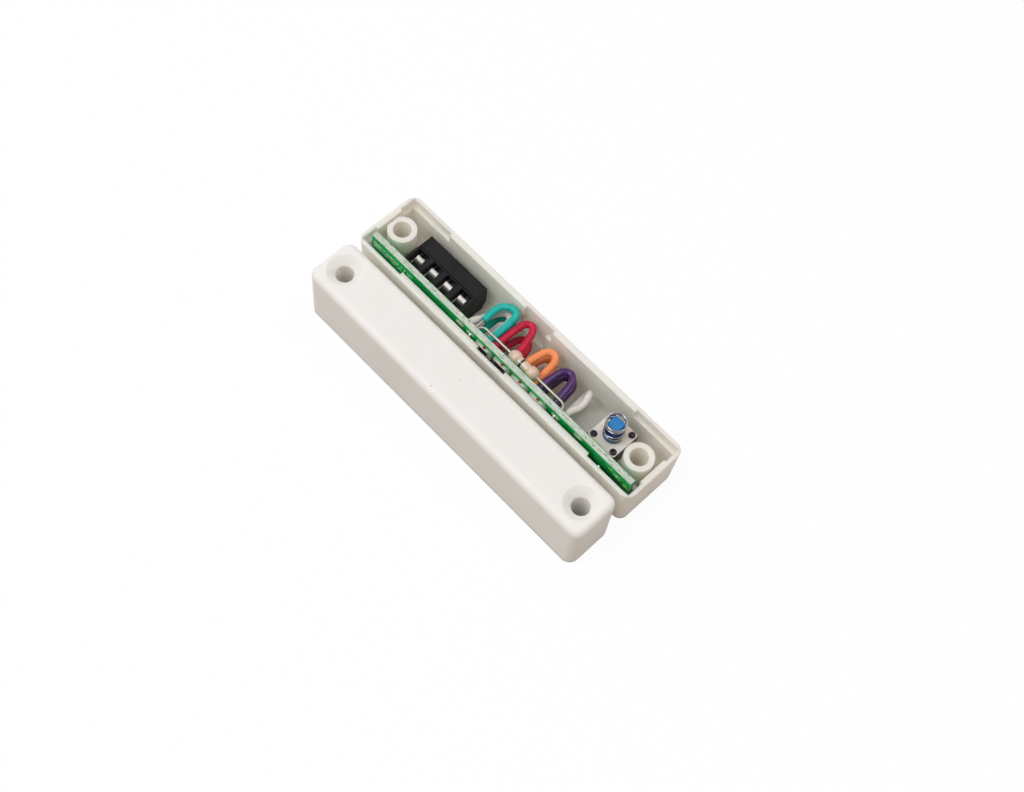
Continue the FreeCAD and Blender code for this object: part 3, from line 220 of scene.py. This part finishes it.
# Node helpers
class Nodes:
    """The node tree of a material or of the world, with short calls for the nodes used here."""

    def __init__(self, owner):
        owner.use_nodes = True
        self.owner = owner
        self.tree = owner.node_tree
        self.shader = self.tree.nodes.get("Principled BSDF")

    def add(self, kind, **values):
        node = self.tree.nodes.new(kind)
        for key, item in values.items():
            if hasattr(node, key):
                setattr(node, key, item)
            else:
                node.inputs[key.replace("_", " ")].default_value = item
        return node

    def link(self, source, target):
        self.tree.links.new(source, target)

    def place(self):
        return self.add("ShaderNodeTexCoord").outputs["Object"]

    def split(self, source):
        """The X, Y and Z of a vector."""
        node = self.add("ShaderNodeSeparateXYZ")
        self.link(source, node.inputs[0])
        return node.outputs

    def axes(self):
        return self.split(self.place())

    def facing(self):
        """The surface's direction, in the part's own axes."""
        return self.split(self.add("ShaderNodeNewGeometry").outputs["True Normal"])

    def noise(self, scale, detail=2.0, roughness=0.5, stretch=None):
        """Noise of a scale in waves a metre, stretched along the axes where asked."""
        node = self.add("ShaderNodeTexNoise", Scale=scale, Detail=detail, Roughness=roughness)
        source = self.place()
        if stretch:
            mapping = self.add("ShaderNodeMapping", Scale=stretch)
            self.link(source, mapping.inputs["Vector"])
            source = mapping.outputs["Vector"]
        self.link(source, node.inputs["Vector"])
        return node.outputs["Fac"]

    def spread(self, source, low, high, out_low=0.0, out_high=1.0):
        node = self.add("ShaderNodeMapRange", From_Min=low, From_Max=high, To_Min=out_low, To_Max=out_high)
        self.link(source, node.inputs["Value"])
        return node.outputs["Result"]

    def maths(self, operation, first, second=None):
        node = self.add("ShaderNodeMath", operation=operation)
        for index, item in enumerate((first, second)):
            if item is None:
                continue
            if isinstance(item, (int, float)):
                node.inputs[index].default_value = item
            else:
                self.link(item, node.inputs[index])
        return node.outputs["Value"]

    def times(self, first, second):
        return self.maths("MULTIPLY", first, second)

    def mix(self, share, first, second):
        node = self.add("ShaderNodeMix", data_type="RGBA")
        colours = [item for item in node.inputs if item.type == "RGBA"]
        for socket, item in ((node.inputs[0], share), (colours[0], first), (colours[1], second)):
            if isinstance(item, (int, float, list, tuple)):
                socket.default_value = item
            else:
                self.link(item, socket)
        return next(item for item in node.outputs if item.type == "RGBA")

    def uneven(self, source, base, shade, span=BROAD):
        """Two colours that run into each other with a noise."""
        return self.mix(self.spread(source, *span), linear(base), linear(shade))

    def band(self, source, low, high, soft=BAND_SOFT):
        """One between two places along an axis, nought outside."""
        up = self.spread(source, low - soft, low + soft)
        down = self.spread(source, high - soft, high + soft, 1.0, 0.0)
        return self.times(up, down)

    def streak(self, place, first, last, width):
        """One near the line from first to last, in mm on plan."""
        reach = math.hypot(last[0] - first[0], last[1] - first[1])
        along = ((last[0] - first[0]) / reach, (last[1] - first[1]) / reach)
        from_x = self.maths("SUBTRACT", place["X"], first[0] * MM)
        from_y = self.maths("SUBTRACT", place["Y"], first[1] * MM)
        forward = self.maths("ADD", self.times(from_x, along[0]), self.times(from_y, along[1]))
        sideways = self.maths("SUBTRACT", self.times(from_x, along[1]), self.times(from_y, along[0]))
        across = self.maths("ABSOLUTE", sideways)
        inside = self.spread(across, width * MM - MARK_SOFT, width * MM + MARK_SOFT, 1.0, 0.0)
        return self.times(inside, self.band(forward, -width * MM, (reach + width) * MM, MARK_SOFT))

    def colour(self, source):
        self.link(source, self.shader.inputs["Base Color"])

    def rough(self, source):
        self.link(source, self.shader.inputs["Roughness"])

    def grainy(self, source, span):
        """Roughness that runs over a span with a noise."""
        self.rough(self.spread(source, *FINE, *span))

    def bump(self, height, strength, distance=GRAIN_DEPTH):
        node = self.add("ShaderNodeBump", Strength=strength, Distance=distance)
        self.link(height, node.inputs["Height"])
        self.link(node.outputs["Normal"], self.shader.inputs["Normal"])

    def set(self, **values):
        for key, item in values.items():
            self.shader.inputs[key.replace("_", " ")].default_value = item


def surface(name):
    return Nodes(bpy.data.materials.new(name))


# Materials
def grained(name, base, shade, rough, grain, strength, gloss=0.4):
    """Moulded plastic, and whatever else has a fine grain and slight unevenness of colour."""
    n = surface(name)
    fine = n.noise(grain, roughness=0.6)
    n.colour(n.uneven(n.noise(180.0), base, shade))
    n.grainy(fine, rough)
    n.bump(fine, strength)
    n.set(Specular_IOR_Level=gloss)
    return n.owner


def housing_material(name, base, shade, depth, marks=()):
    """Pale plastic that lets some light through, with faint marks of handling."""
    n = surface(name)
    place = n.axes()
    fine = n.noise(4200.0, roughness=0.6)
    coat = n.uneven(n.noise(160.0), base, shade)
    for first, last, width, strength in marks:
        worn = n.streak(place, first, last, width)
        above = n.maths("GREATER_THAN", n.facing()["Z"], LEVEL)
        coat = n.mix(n.times(n.times(worn, above), strength), coat, linear(MARK_COLOUR))
    n.colour(coat)
    n.grainy(fine, HOUSING_ROUGH)
    n.bump(fine, strength=0.22)
    n.set(Specular_IOR_Level=0.4, Subsurface_Weight=HOUSING_LIGHT_THROUGH, Subsurface_Scale=depth,
          Subsurface_Radius=HOUSING_LIGHT_TINT)
    return n.owner


def insulation(name, base, shade, rough=(0.34, 0.5), coat=0.0):
    """Extruded wire covering: satin, with a faint waviness along it."""
    n = surface(name)
    wave = n.noise(900.0)
    fine = n.noise(5000.0)
    n.colour(n.uneven(wave, base, shade, WAVY))
    n.grainy(fine, rough)
    n.bump(n.maths("ADD", wave, n.times(fine, 0.25)), strength=0.25, distance=WAVE_DEPTH)
    n.set(Specular_IOR_Level=0.36, Coat_Weight=coat, Coat_Roughness=0.05)
    return n.owner


def metal(name, base, shade, rough, stretch=(1.0, 1.0, 1.0), scale=4000.0):
    """Metal with fine streaks, stretched the way that it was drawn or rolled."""
    n = surface(name)
    streaks = n.noise(scale, detail=3.0, roughness=0.6, stretch=stretch)
    n.colour(n.uneven(n.noise(700.0), base, shade))
    n.grainy(streaks, rough)
    n.bump(streaks, strength=0.12, distance=SHALLOW)
    n.set(Metallic=1.0)
    return n.owner


def mask_colour(n, place, facing, copper):
    """The green mask on both faces of the board, painted darker low down as painted shade, and the strokes
    printed on the near one.
    """
    mask = n.mix(copper, linear(MASK_PLAIN), linear(MASK_OVER_COPPER))
    mask = n.mix(n.maths("GREATER_THAN", facing["Y"], SQUARE_ON), mask, linear(MASK_FAR_FACE))
    # painted shade: the mask is painted darker low on the board, most of all at the right end
    painted_shade = n.times(n.spread(place["Z"], *PAINTED_SHADE_HEIGHTS, 1.0, 0.0),
                       n.spread(place["X"], *PAINTED_SHADE_ALONG, *PAINTED_SHADE_SHARES))
    mask = n.mix(painted_shade, mask, linear(MASK_PAINTED_SHADE))
    # short pale strokes in two rows near the left end
    stroke = n.spread(n.noise(2300.0, detail=1.0, stretch=(1.3, 1.0, 0.55)), 0.46, 0.52)
    rows = n.maths("MAXIMUM", n.band(place["Z"], *STROKE_ROWS[0]), n.band(place["Z"], *STROKE_ROWS[1]))
    printed = n.times(n.times(stroke, rows), n.band(place["X"], *STROKES_ALONG))
    printed = n.times(printed, n.maths("LESS_THAN", facing["Y"], -SQUARE_ON))
    return n.mix(printed, mask, linear(STROKE_COLOUR))


def core_colour(n, place, facing, torn):
    """The sawn edge: glass layers that run along it, dark flecks and torn pale fibres."""
    low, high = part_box("circuit_board")
    flecks = n.spread(n.noise(2600.0, roughness=0.6, stretch=(0.45, 1.8, 1.0)), 0.60, 0.66)
    core = n.mix(torn, linear(CORE_DEEP), linear(CORE_PALE))
    core = n.mix(n.times(flecks, FLECK_SHARE), core, linear(CORE_FLECKS))
    ripple = n.maths("SINE", n.times(place["Y"], 2.0 * math.pi / LAYER_PITCH))
    layers = n.spread(ripple, 0.75, 1.0)
    core = n.mix(n.times(layers, LAYER_SHARE), core, linear(CORE_LAYERS))
    near_rim = n.band(place["Y"], low.y - MM, low.y + NEAR_RIM)
    far_rim = n.band(place["Y"], high.y - FAR_RIM, high.y + MM)
    rims = n.maths("MAXIMUM", near_rim, far_rim)
    core = n.mix(n.times(rims, RIM_SHARE), core, linear(CORE_RIM))
    on_end = n.maths("GREATER_THAN", n.maths("ABSOLUTE", facing["X"]), SQUARE_ON)
    return n.mix(n.times(on_end, END_SHARE), core, linear(CORE_ENDS))


def board_material():
    """Green mask on both faces, pale flecked laminate round the sawn edge."""
    n = surface("board_mask")
    place = n.axes()
    facing = n.facing()
    on_face = n.maths("GREATER_THAN", n.maths("ABSOLUTE", facing["Y"]), SQUARE_ON)
    # the mask is deeper in colour away from the copper and brighter over it
    copper = n.spread(n.noise(420.0, detail=1.0, roughness=0.4, stretch=(1.0, 1.0, 2.2)), 0.46, 0.54)
    torn = n.spread(n.noise(1500.0, detail=3.0, roughness=0.7, stretch=(0.35, 2.4, 1.0)), 0.40, 0.62)
    mask = mask_colour(n, place, facing, copper)
    n.colour(n.mix(on_face, core_colour(n, place, facing, torn), mask))
    sheen = n.spread(n.noise(1400.0), *FINE, *MASK_ROUGH)
    off_face = n.maths("SUBTRACT", 1.0, on_face)
    n.rough(n.maths("ADD", sheen, n.times(off_face, EDGE_EXTRA_ROUGH)))
    n.bump(n.maths("ADD", n.times(copper, 0.8), torn), strength=0.2)
    n.set(Specular_IOR_Level=0.16)
    return n.owner


def link_material():
    """Beige coating with one black band."""
    n = surface("link_coating")
    mottle = n.noise(1100.0)
    coat = n.uneven(mottle, LINK_BASE, LINK_SHADE)
    band = n.band(n.axes()["X"], *LINK_BAND, LINK_BAND_SOFT)
    n.colour(n.mix(band, coat, linear(LINK_BAND_COLOUR)))
    n.grainy(mottle, (0.2, 0.32))
    n.bump(mottle, strength=0.2, distance=WAVE_DEPTH)
    n.set(Specular_IOR_Level=0.5, Coat_Weight=0.6, Coat_Roughness=0.06)
    return n.owner


def button_material():
    """Blue plastic, its sides painted darker than its pressed face as painted shade."""
    n = surface("button_plastic")
    fine = n.noise(3000.0, roughness=0.6)
    upward = n.maths("GREATER_THAN", n.facing()["Z"], UPWARD)
    top = n.mix(fine, linear(BUTTON_TOP), linear(BUTTON_TOP_SHADE))
    # painted shade: faces that do not look upward take the darker side colour
    n.colour(n.mix(upward, linear(BUTTON_SIDES_PAINTED_SHADE), top))
    n.grainy(fine, (0.3, 0.42))
    n.bump(fine, strength=0.15)
    n.set(Specular_IOR_Level=0.4)
    return n.owner


def chip_material():
    """White ceramic with a dark coat on the face that looks out from the board."""
    n = surface("chip_coat")
    outward = n.maths("LESS_THAN", n.facing()["Y"], -SQUARE_ON)
    speck = n.noise(3000.0)
    white = n.mix(speck, linear(CHIP_WHITE), linear(CHIP_WHITE_SHADE))
    n.colour(n.mix(outward, white, linear(CHIP_COAT)))
    n.grainy(speck, (0.35, 0.5))
    n.bump(speck, strength=0.2, distance=SHALLOW)
    return n.owner


def glass_material():
    n = surface("reed_glass_clear")
    n.grainy(n.noise(500.0, detail=1.0), (0.02, 0.06))
    n.set(Base_Color=linear(GLASS_TINT), IOR=GLASS_IOR, Transmission_Weight=1.0)
    return n.owner


def make_materials():
    """Every material by its key: base colour, shade, span of roughness, then grain or stretch."""
    return {
        "housing": housing_material("housing_plastic", (255, 249, 235), (254, 247, 232), depth=2.5 * MM),
        "lid": housing_material("magnet_housing_plastic", (251, 247, 241), (250, 245, 238), depth=1.9 * MM,
                                marks=TOP_MARKS),
        "black": grained("terminal_plastic", (37, 36, 38), (28, 28, 31), (0.46, 0.6), grain=3200.0,
                         strength=0.5, gloss=0.2),
        "tact_black": grained("tact_case_plastic", (34, 27, 46), (24, 18, 34), (0.22, 0.34), grain=3600.0,
                              strength=0.2),
        "board": board_material(),
        "contact": metal("contact_plate", (196, 190, 184), (170, 164, 158), (0.34, 0.46),
                         stretch=(1.0, 6.0, 1.0)),
        "guard": metal("guard_strip", (206, 198, 192), (184, 176, 170), (0.44, 0.56),
                       stretch=(6.0, 1.0, 1.0)),
        "screw": metal("screw_zinc", (196, 194, 190), (172, 170, 166), (0.24, 0.42)),
        "tinned": metal("tinned_wire", (204, 200, 188), (188, 184, 172), (0.42, 0.52),
                        stretch=(0.3, 1.0, 1.0)),
        "solder": metal("solder_fill", (196, 194, 188), (168, 166, 160), (0.22, 0.4), scale=1800.0),
        "spring": metal("spring_wire", (190, 188, 194), (166, 164, 170), (0.08, 0.16)),
        "plate": grained("tact_plate", (240, 231, 221), (230, 221, 210), (0.3, 0.4), grain=2800.0,
                         strength=0.2),
        "button": button_material(),
        "teal": insulation("teal_covering", (26, 190, 178), (20, 172, 162)),
        "red": insulation("red_covering", (212, 28, 70), (186, 20, 56), (0.3, 0.44)),
        "orange": insulation("orange_covering", (255, 158, 102), (250, 144, 86)),
        "purple": insulation("purple_covering", (78, 34, 108), (54, 22, 80), (0.26, 0.38), coat=0.45),
        "white": insulation("white_covering", (232, 226, 220), (220, 213, 206)),
        "link": link_material(),
        "chip": chip_material(),
        "glass": glass_material(),
        "magnet": grained("magnet_ferrite", (62, 60, 62), (48, 46, 48), (0.5, 0.7), grain=1800.0,
                          strength=0.6),
        "glue": grained("chip_glue", (196, 40, 34), (172, 26, 24), (0.2, 0.3), grain=1500.0, strength=0.3),
        "dull_solder": grained("dull_solder", (150, 152, 134), (112, 114, 98), (0.3, 0.5), grain=1400.0,
                               strength=0.6),
        "pads": grained("bright_solder", (206, 206, 184), (178, 182, 156), (0.24, 0.4), grain=1600.0,
                        strength=0.4),
        "worn": grained("worn_pads", (176, 192, 160), (150, 170, 136), (0.2, 0.34), grain=1500.0,
                        strength=0.3),
        "humps": grained("covered_pads", (92, 178, 78), (70, 170, 80), (0.12, 0.2), grain=900.0,
                         strength=0.05, gloss=0.6),
    }


# The material of each node; a wire loop takes the one that its name starts with
FINISHES = {
    "switch_base": "housing", "magnet_housing": "lid", "circuit_board": "board",
    "terminal_block_left": "black", "terminal_block_right": "black",
    "terminal_contacts": "contact", "wire_guards": "guard", "terminal_screws": "screw",
    "loop_conductors": "tinned", "link_resistor": "link", "link_resistor_leads": "tinned",
    "chip_resistors": "chip", "chip_end_caps": "solder", "solder_joints": "solder",
    "tamper_switch_body": "tact_black", "tamper_switch_plate": "plate",
    "tamper_switch_pins": "tinned", "tamper_dome": "spring", "tamper_plunger": "button",
    "tamper_spring": "spring", "reed_glass": "glass", "reed_blades": "screw",
    "bar_magnet": "magnet",
}


def give(item, material):
    item.data.materials.clear()
    item.data.materials.append(material)


def finish_nodes(materials):
    for name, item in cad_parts.items():
        key = FINISHES.get(name) or name.split("_")[0]
        give(item, materials[key])


# Mesh pieces
def new_piece(name, build, material, body):
    mesh = bpy.data.meshes.new(name)
    shape = bmesh.new()
    build(shape)
    bmesh.ops.recalc_face_normals(shape, faces=shape.faces)
    shape.to_mesh(mesh)
    shape.free()
    for face in mesh.polygons:
        face.use_smooth = True
    item = bpy.data.objects.new(name, mesh)
    bpy.context.scene.collection.objects.link(item)
    give(item, material)
    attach(item, body)
    return item


def join_rings(shape, rings, sides):
    """Faces between each ring of points and the next."""
    for ring, following in zip(rings, rings[1:]):
        for step in range(sides):
            nearby = (step + 1) % sides
            shape.faces.new((ring[step], ring[nearby], following[nearby], following[step]))


def sweep(shape, path, radius, sides):
    """A closed round bar along a path of points, with flat ends."""
    rings = []
    normal = None
    last = len(path) - 1
    for index, point in enumerate(path):
        ahead = path[min(index + 1, last)] - path[max(index - 1, 0)]
        ahead.normalize()
        if normal is None:
            normal = ahead.orthogonal().normalized()
        normal = (normal - ahead * normal.dot(ahead)).normalized()
        side = ahead.cross(normal)
        ring = []
        for step in range(sides):
            turn = 2.0 * math.pi * step / sides
            ring.append(shape.verts.new(point + (normal * math.cos(turn) + side * math.sin(turn)) * radius))
        rings.append(ring)
    join_rings(shape, rings, sides)
    shape.faces.new(rings[0][::-1])
    shape.faces.new(rings[-1])


def spring_heights(length, steps):
    """The wire's height at each step round the coil."""
    close = SPRING_WIRE + COIL_GAP
    wide = (length - SPRING_WIRE - close * (FOOT_TURNS + HEAD_TURNS)) / OPEN_TURNS
    heights = [0.0]
    for step in range(1, round((FOOT_TURNS + OPEN_TURNS + HEAD_TURNS) * steps) + 1):
        here = (step - 0.5) / steps
        inside = min(here - FOOT_TURNS, FOOT_TURNS + OPEN_TURNS - here)
        share = min(max(inside / BLEND_TURNS + 0.5, 0.0), 1.0)
        heights.append(heights[-1] + (close + (wide - close) * share) / steps)
    stretch = (length - SPRING_WIRE) / heights[-1]
    return [height * stretch for height in heights]


def make_spring(materials):
    """The coil spring on the button, in true round wire."""
    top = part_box("tamper_spring")[1].z
    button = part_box("tamper_plunger")
    middle = (button[0] + button[1]) / 2
    path = []
    for step, height in enumerate(spring_heights(top - SPRING_SEAT, TURN_STEPS)):
        turn = 2.0 * math.pi * step / TURN_STEPS
        path.append(Vector((middle.x + COIL_RADIUS * math.cos(turn), middle.y + COIL_RADIUS * math.sin(turn),
                            SPRING_SEAT + SPRING_WIRE / 2 + height)))

    def build(shape):
        sweep(shape, path, SPRING_WIRE / 2, WIRE_SIDES)

    item = new_piece("tamper_coil", build, materials["spring"], "tamper_plunger")
    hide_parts("tamper_spring")
    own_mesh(item)


def cap_radius(rim, rise):
    return (rim ** 2 + rise ** 2) / (2.0 * rise)


def cap_rings(rim, rise, count):
    """Radius and height of the rings of a round cap, from its rim to its crown."""
    radius = cap_radius(rim, rise)
    reach = math.asin(rim / radius)
    turns = [reach * (count - step) / count for step in range(count + 1)]
    return [(radius * math.sin(turn), rise - radius * (1.0 - math.cos(turn))) for turn in turns]


def make_disc(materials):
    """The dished disc in the tamper switch, which gives way under the button."""
    low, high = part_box("tamper_dome")
    middle = (low + high) / 2
    rim = (high.x - low.x) / 2
    rise = high.z - low.z
    round_by = cap_radius(rim, rise)
    inner_rim = math.sqrt((round_by - DISC_THICK) ** 2 - (round_by - rise) ** 2)

    def ring_of(shape, radius, height):
        ring = []
        for step in range(DISC_SIDES):
            turn = 2.0 * math.pi * step / DISC_SIDES
            x = middle.x + radius * math.cos(turn)
            y = middle.y + radius * math.sin(turn)
            ring.append(shape.verts.new((x, y, low.z + height)))
        return ring

    def build(shape):
        outer = cap_rings(rim, rise, DISC_RINGS)[:-1]
        inner = cap_rings(inner_rim, rise - DISC_THICK, DISC_RINGS)[:-1]
        rings = [ring_of(shape, *item) for item in outer[::-1] + inner]
        join_rings(shape, rings, DISC_SIDES)
        for ring, height in ((rings[0], rise), (rings[-1], rise - DISC_THICK)):
            crown = shape.verts.new((middle.x, middle.y, low.z + height))
            for step in range(DISC_SIDES):
                shape.faces.new((ring[step], ring[(step + 1) % DISC_SIDES], crown))

    item = new_piece("tamper_disc", build, materials["spring"], "root")
    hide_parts("tamper_dome")
    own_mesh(item)


def blob(shape, centre, size, fineness):
    """A ball stretched to three half sizes."""
    made = bmesh.ops.create_uvsphere(shape, u_segments=fineness[0], v_segments=fineness[1], radius=1.0)
    for vertex in made["verts"]:
        vertex.co = Vector((vertex.co.x * size[0], vertex.co.y * size[1], vertex.co.z * size[2])) + centre


def make_board_details(materials):
    """Glue and solder at the chips, pale blobs as painted highlights at their left ends, and the pads on the
    board's near face.
    """
    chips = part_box("chip_resistors")
    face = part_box("circuit_board")[0].y
    low, top = chips[0].z, chips[1].z
    middle = (low + top) / 2
    half = CHIP_LENGTH / 2
    first = chips[0].x - CAP_LENGTH + half
    centres = [first + number * CHIP_PITCH for number in range(CHIP_COUNT)]

    def at_chips(*spots):
        """Blobs at every chip; a spot is x from the chip's middle, z, and what sits there."""
        def build(shape):
            for centre in centres:
                for x, z, kind in spots:
                    place = Vector((centre + x + kind["along"], face - kind["out"], z + kind["up"]))
                    blob(shape, place, kind["size"], SMALL_BLOB)
        return build

    def on_face(spots, out, fineness):
        """Flat blobs on the board's near face."""
        def build(shape):
            for x, z, long, high in spots:
                blob(shape, Vector((x * MM, face, z * MM)), (long * MM, out, high * MM), fineness)
        return build

    dots = at_chips((0.0, top, GLUE_DOT))
    fillets = at_chips((-half, middle, LEFT_FILLET), (half, middle, RIGHT_FILLET))
    # painted highlight: pale blobs at the chips' left ends
    glints = at_chips((-half, top, GLINT))
    pads = on_face(SOLDER_PADS, SOLDER_PADS_OUT, PAD_BLOB)
    worn = on_face(WORN_PADS, WORN_PADS_OUT, WIDE_BLOB)
    humps = on_face(MASK_HUMPS, MASK_HUMPS_OUT, WIDE_BLOB)
    new_piece("chip_glue_dots", dots, materials["glue"], "root")
    new_piece("chip_solder", fillets, materials["dull_solder"], "root")
    new_piece("chip_glints", glints, materials["pads"], "root")
    new_piece("solder_pads", pads, materials["pads"], "root")
    new_piece("worn_pads", worn, materials["worn"], "root")
    new_piece("mask_humps", humps, materials["humps"], "root")


def make_studs(materials):
    """Soft domes on the four pegs of the tamper switch."""
    low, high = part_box("tamper_switch_plate")
    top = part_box("tamper_switch_body")[1].z
    middle = (low + high) / 2

    def build(shape):
        for side in (-1, 1):
            for end in (-1, 1):
                blob(shape, Vector((middle.x + side * STUD_REACH, middle.y + end * STUD_REACH, top)),
                     (STUD_RADIUS, STUD_RADIUS, STUD_RISE), STUD_BLOB)

    new_piece("tamper_switch_studs", build, materials["tact_black"], "root")


# Camera, light and floor
def make_camera():
    data = bpy.data.cameras.new("Camera")
    data.sensor_width = SENSOR
    data.sensor_fit = "HORIZONTAL"
    data.lens = SENSOR * FOCAL_PIXELS / IMAGE_WIDTH
    data.clip_start = CAMERA_NEAREST
    data.clip_end = CAMERA_FARTHEST
    camera = bpy.data.objects.new("Camera", data)
    bpy.context.scene.collection.objects.link(camera)
    look = (CAMERA_AIM - CAMERA_PLACE).to_track_quat("-Z", "Y").to_matrix()
    turned = look @ Matrix.Rotation(CAMERA_ROLL, 3, "Z")
    camera.matrix_world = Matrix.Translation(CAMERA_PLACE) @ turned.to_4x4()
    bpy.context.scene.camera = camera


def make_world():
    """A plain warm surround that is white where the camera sees it."""
    world = bpy.data.worlds.new("studio")
    bpy.context.scene.world = world
    n = Nodes(world)
    rays = n.add("ShaderNodeLightPath").outputs
    seen = n.maths("MAXIMUM", rays["Is Camera Ray"], rays["Is Transmission Ray"])
    across = n.split(n.add("ShaderNodeTexCoord").outputs["Generated"])["X"]
    level = n.spread(across, -1.0, 1.0, WORLD_LEFT, WORLD_RIGHT)
    tinted = n.add("ShaderNodeVectorMath", operation="SCALE")
    tinted.inputs[0].default_value = WORLD_TINT
    n.link(level, tinted.inputs["Scale"])
    n.link(n.mix(seen, tinted.outputs["Vector"], WHITE), n.tree.nodes["Background"].inputs["Color"])


def make_lights():
    for name, place, power in LAMPS:
        data = bpy.data.lights.new(name, "AREA")
        data.shape = "DISK"
        data.size = LAMP_SIZE
        data.energy = power
        data.color = linear(LAMP_COLOUR)[:3]
        lamp = bpy.data.objects.new(name, data)
        lamp.location = place
        lamp.rotation_euler = (-Vector(place)).to_track_quat("-Z", "Y").to_euler()
        bpy.context.scene.collection.objects.link(lamp)
    bpy.context.scene.view_settings.view_transform = "Standard"


def make_floor():
    """A plain pale floor that keeps the object's shadow."""
    mesh = bpy.data.meshes.new("floor")
    ends = ((-1, -1), (1, -1), (1, 1), (-1, 1))
    corners = [(x * FLOOR_REACH, y * FLOOR_REACH, 0.0) for x, y in ends]
    mesh.from_pydata(corners, [], [(0, 1, 2, 3)])
    item = bpy.data.objects.new("floor", mesh)
    item.location.z = -FLOOR_DROP
    bpy.context.scene.collection.objects.link(item)
    n = surface("floor_paper")
    n.set(Roughness=FLOOR_ROUGHNESS, Specular_IOR_Level=0.0)
    rays = n.add("ShaderNodeLightPath").outputs
    glow = n.add("ShaderNodeEmission", Color=WHITE)
    blend = n.add("ShaderNodeMixShader")
    seen = n.maths("MAXIMUM", rays["Is Camera Ray"], rays["Is Glossy Ray"])
    seen = n.maths("MAXIMUM", seen, rays["Is Transmission Ray"])
    n.colour(n.mix(seen, linear(FLOOR_BOUNCE), WHITE))
    n.link(n.times(seen, FLOOR_GLOW), blend.inputs[0])
    n.link(n.shader.outputs[0], blend.inputs[1])
    n.link(glow.outputs[0], blend.inputs[2])
    n.link(blend.outputs[0], n.tree.nodes["Material Output"].inputs["Surface"])
    item.data.materials.append(n.owner)


make_camera()
make_world()
make_lights()
make_floor()
made = make_materials()
finish_nodes(made)
make_spring(made)
make_disc(made)
make_board_details(made)
make_studs(made)
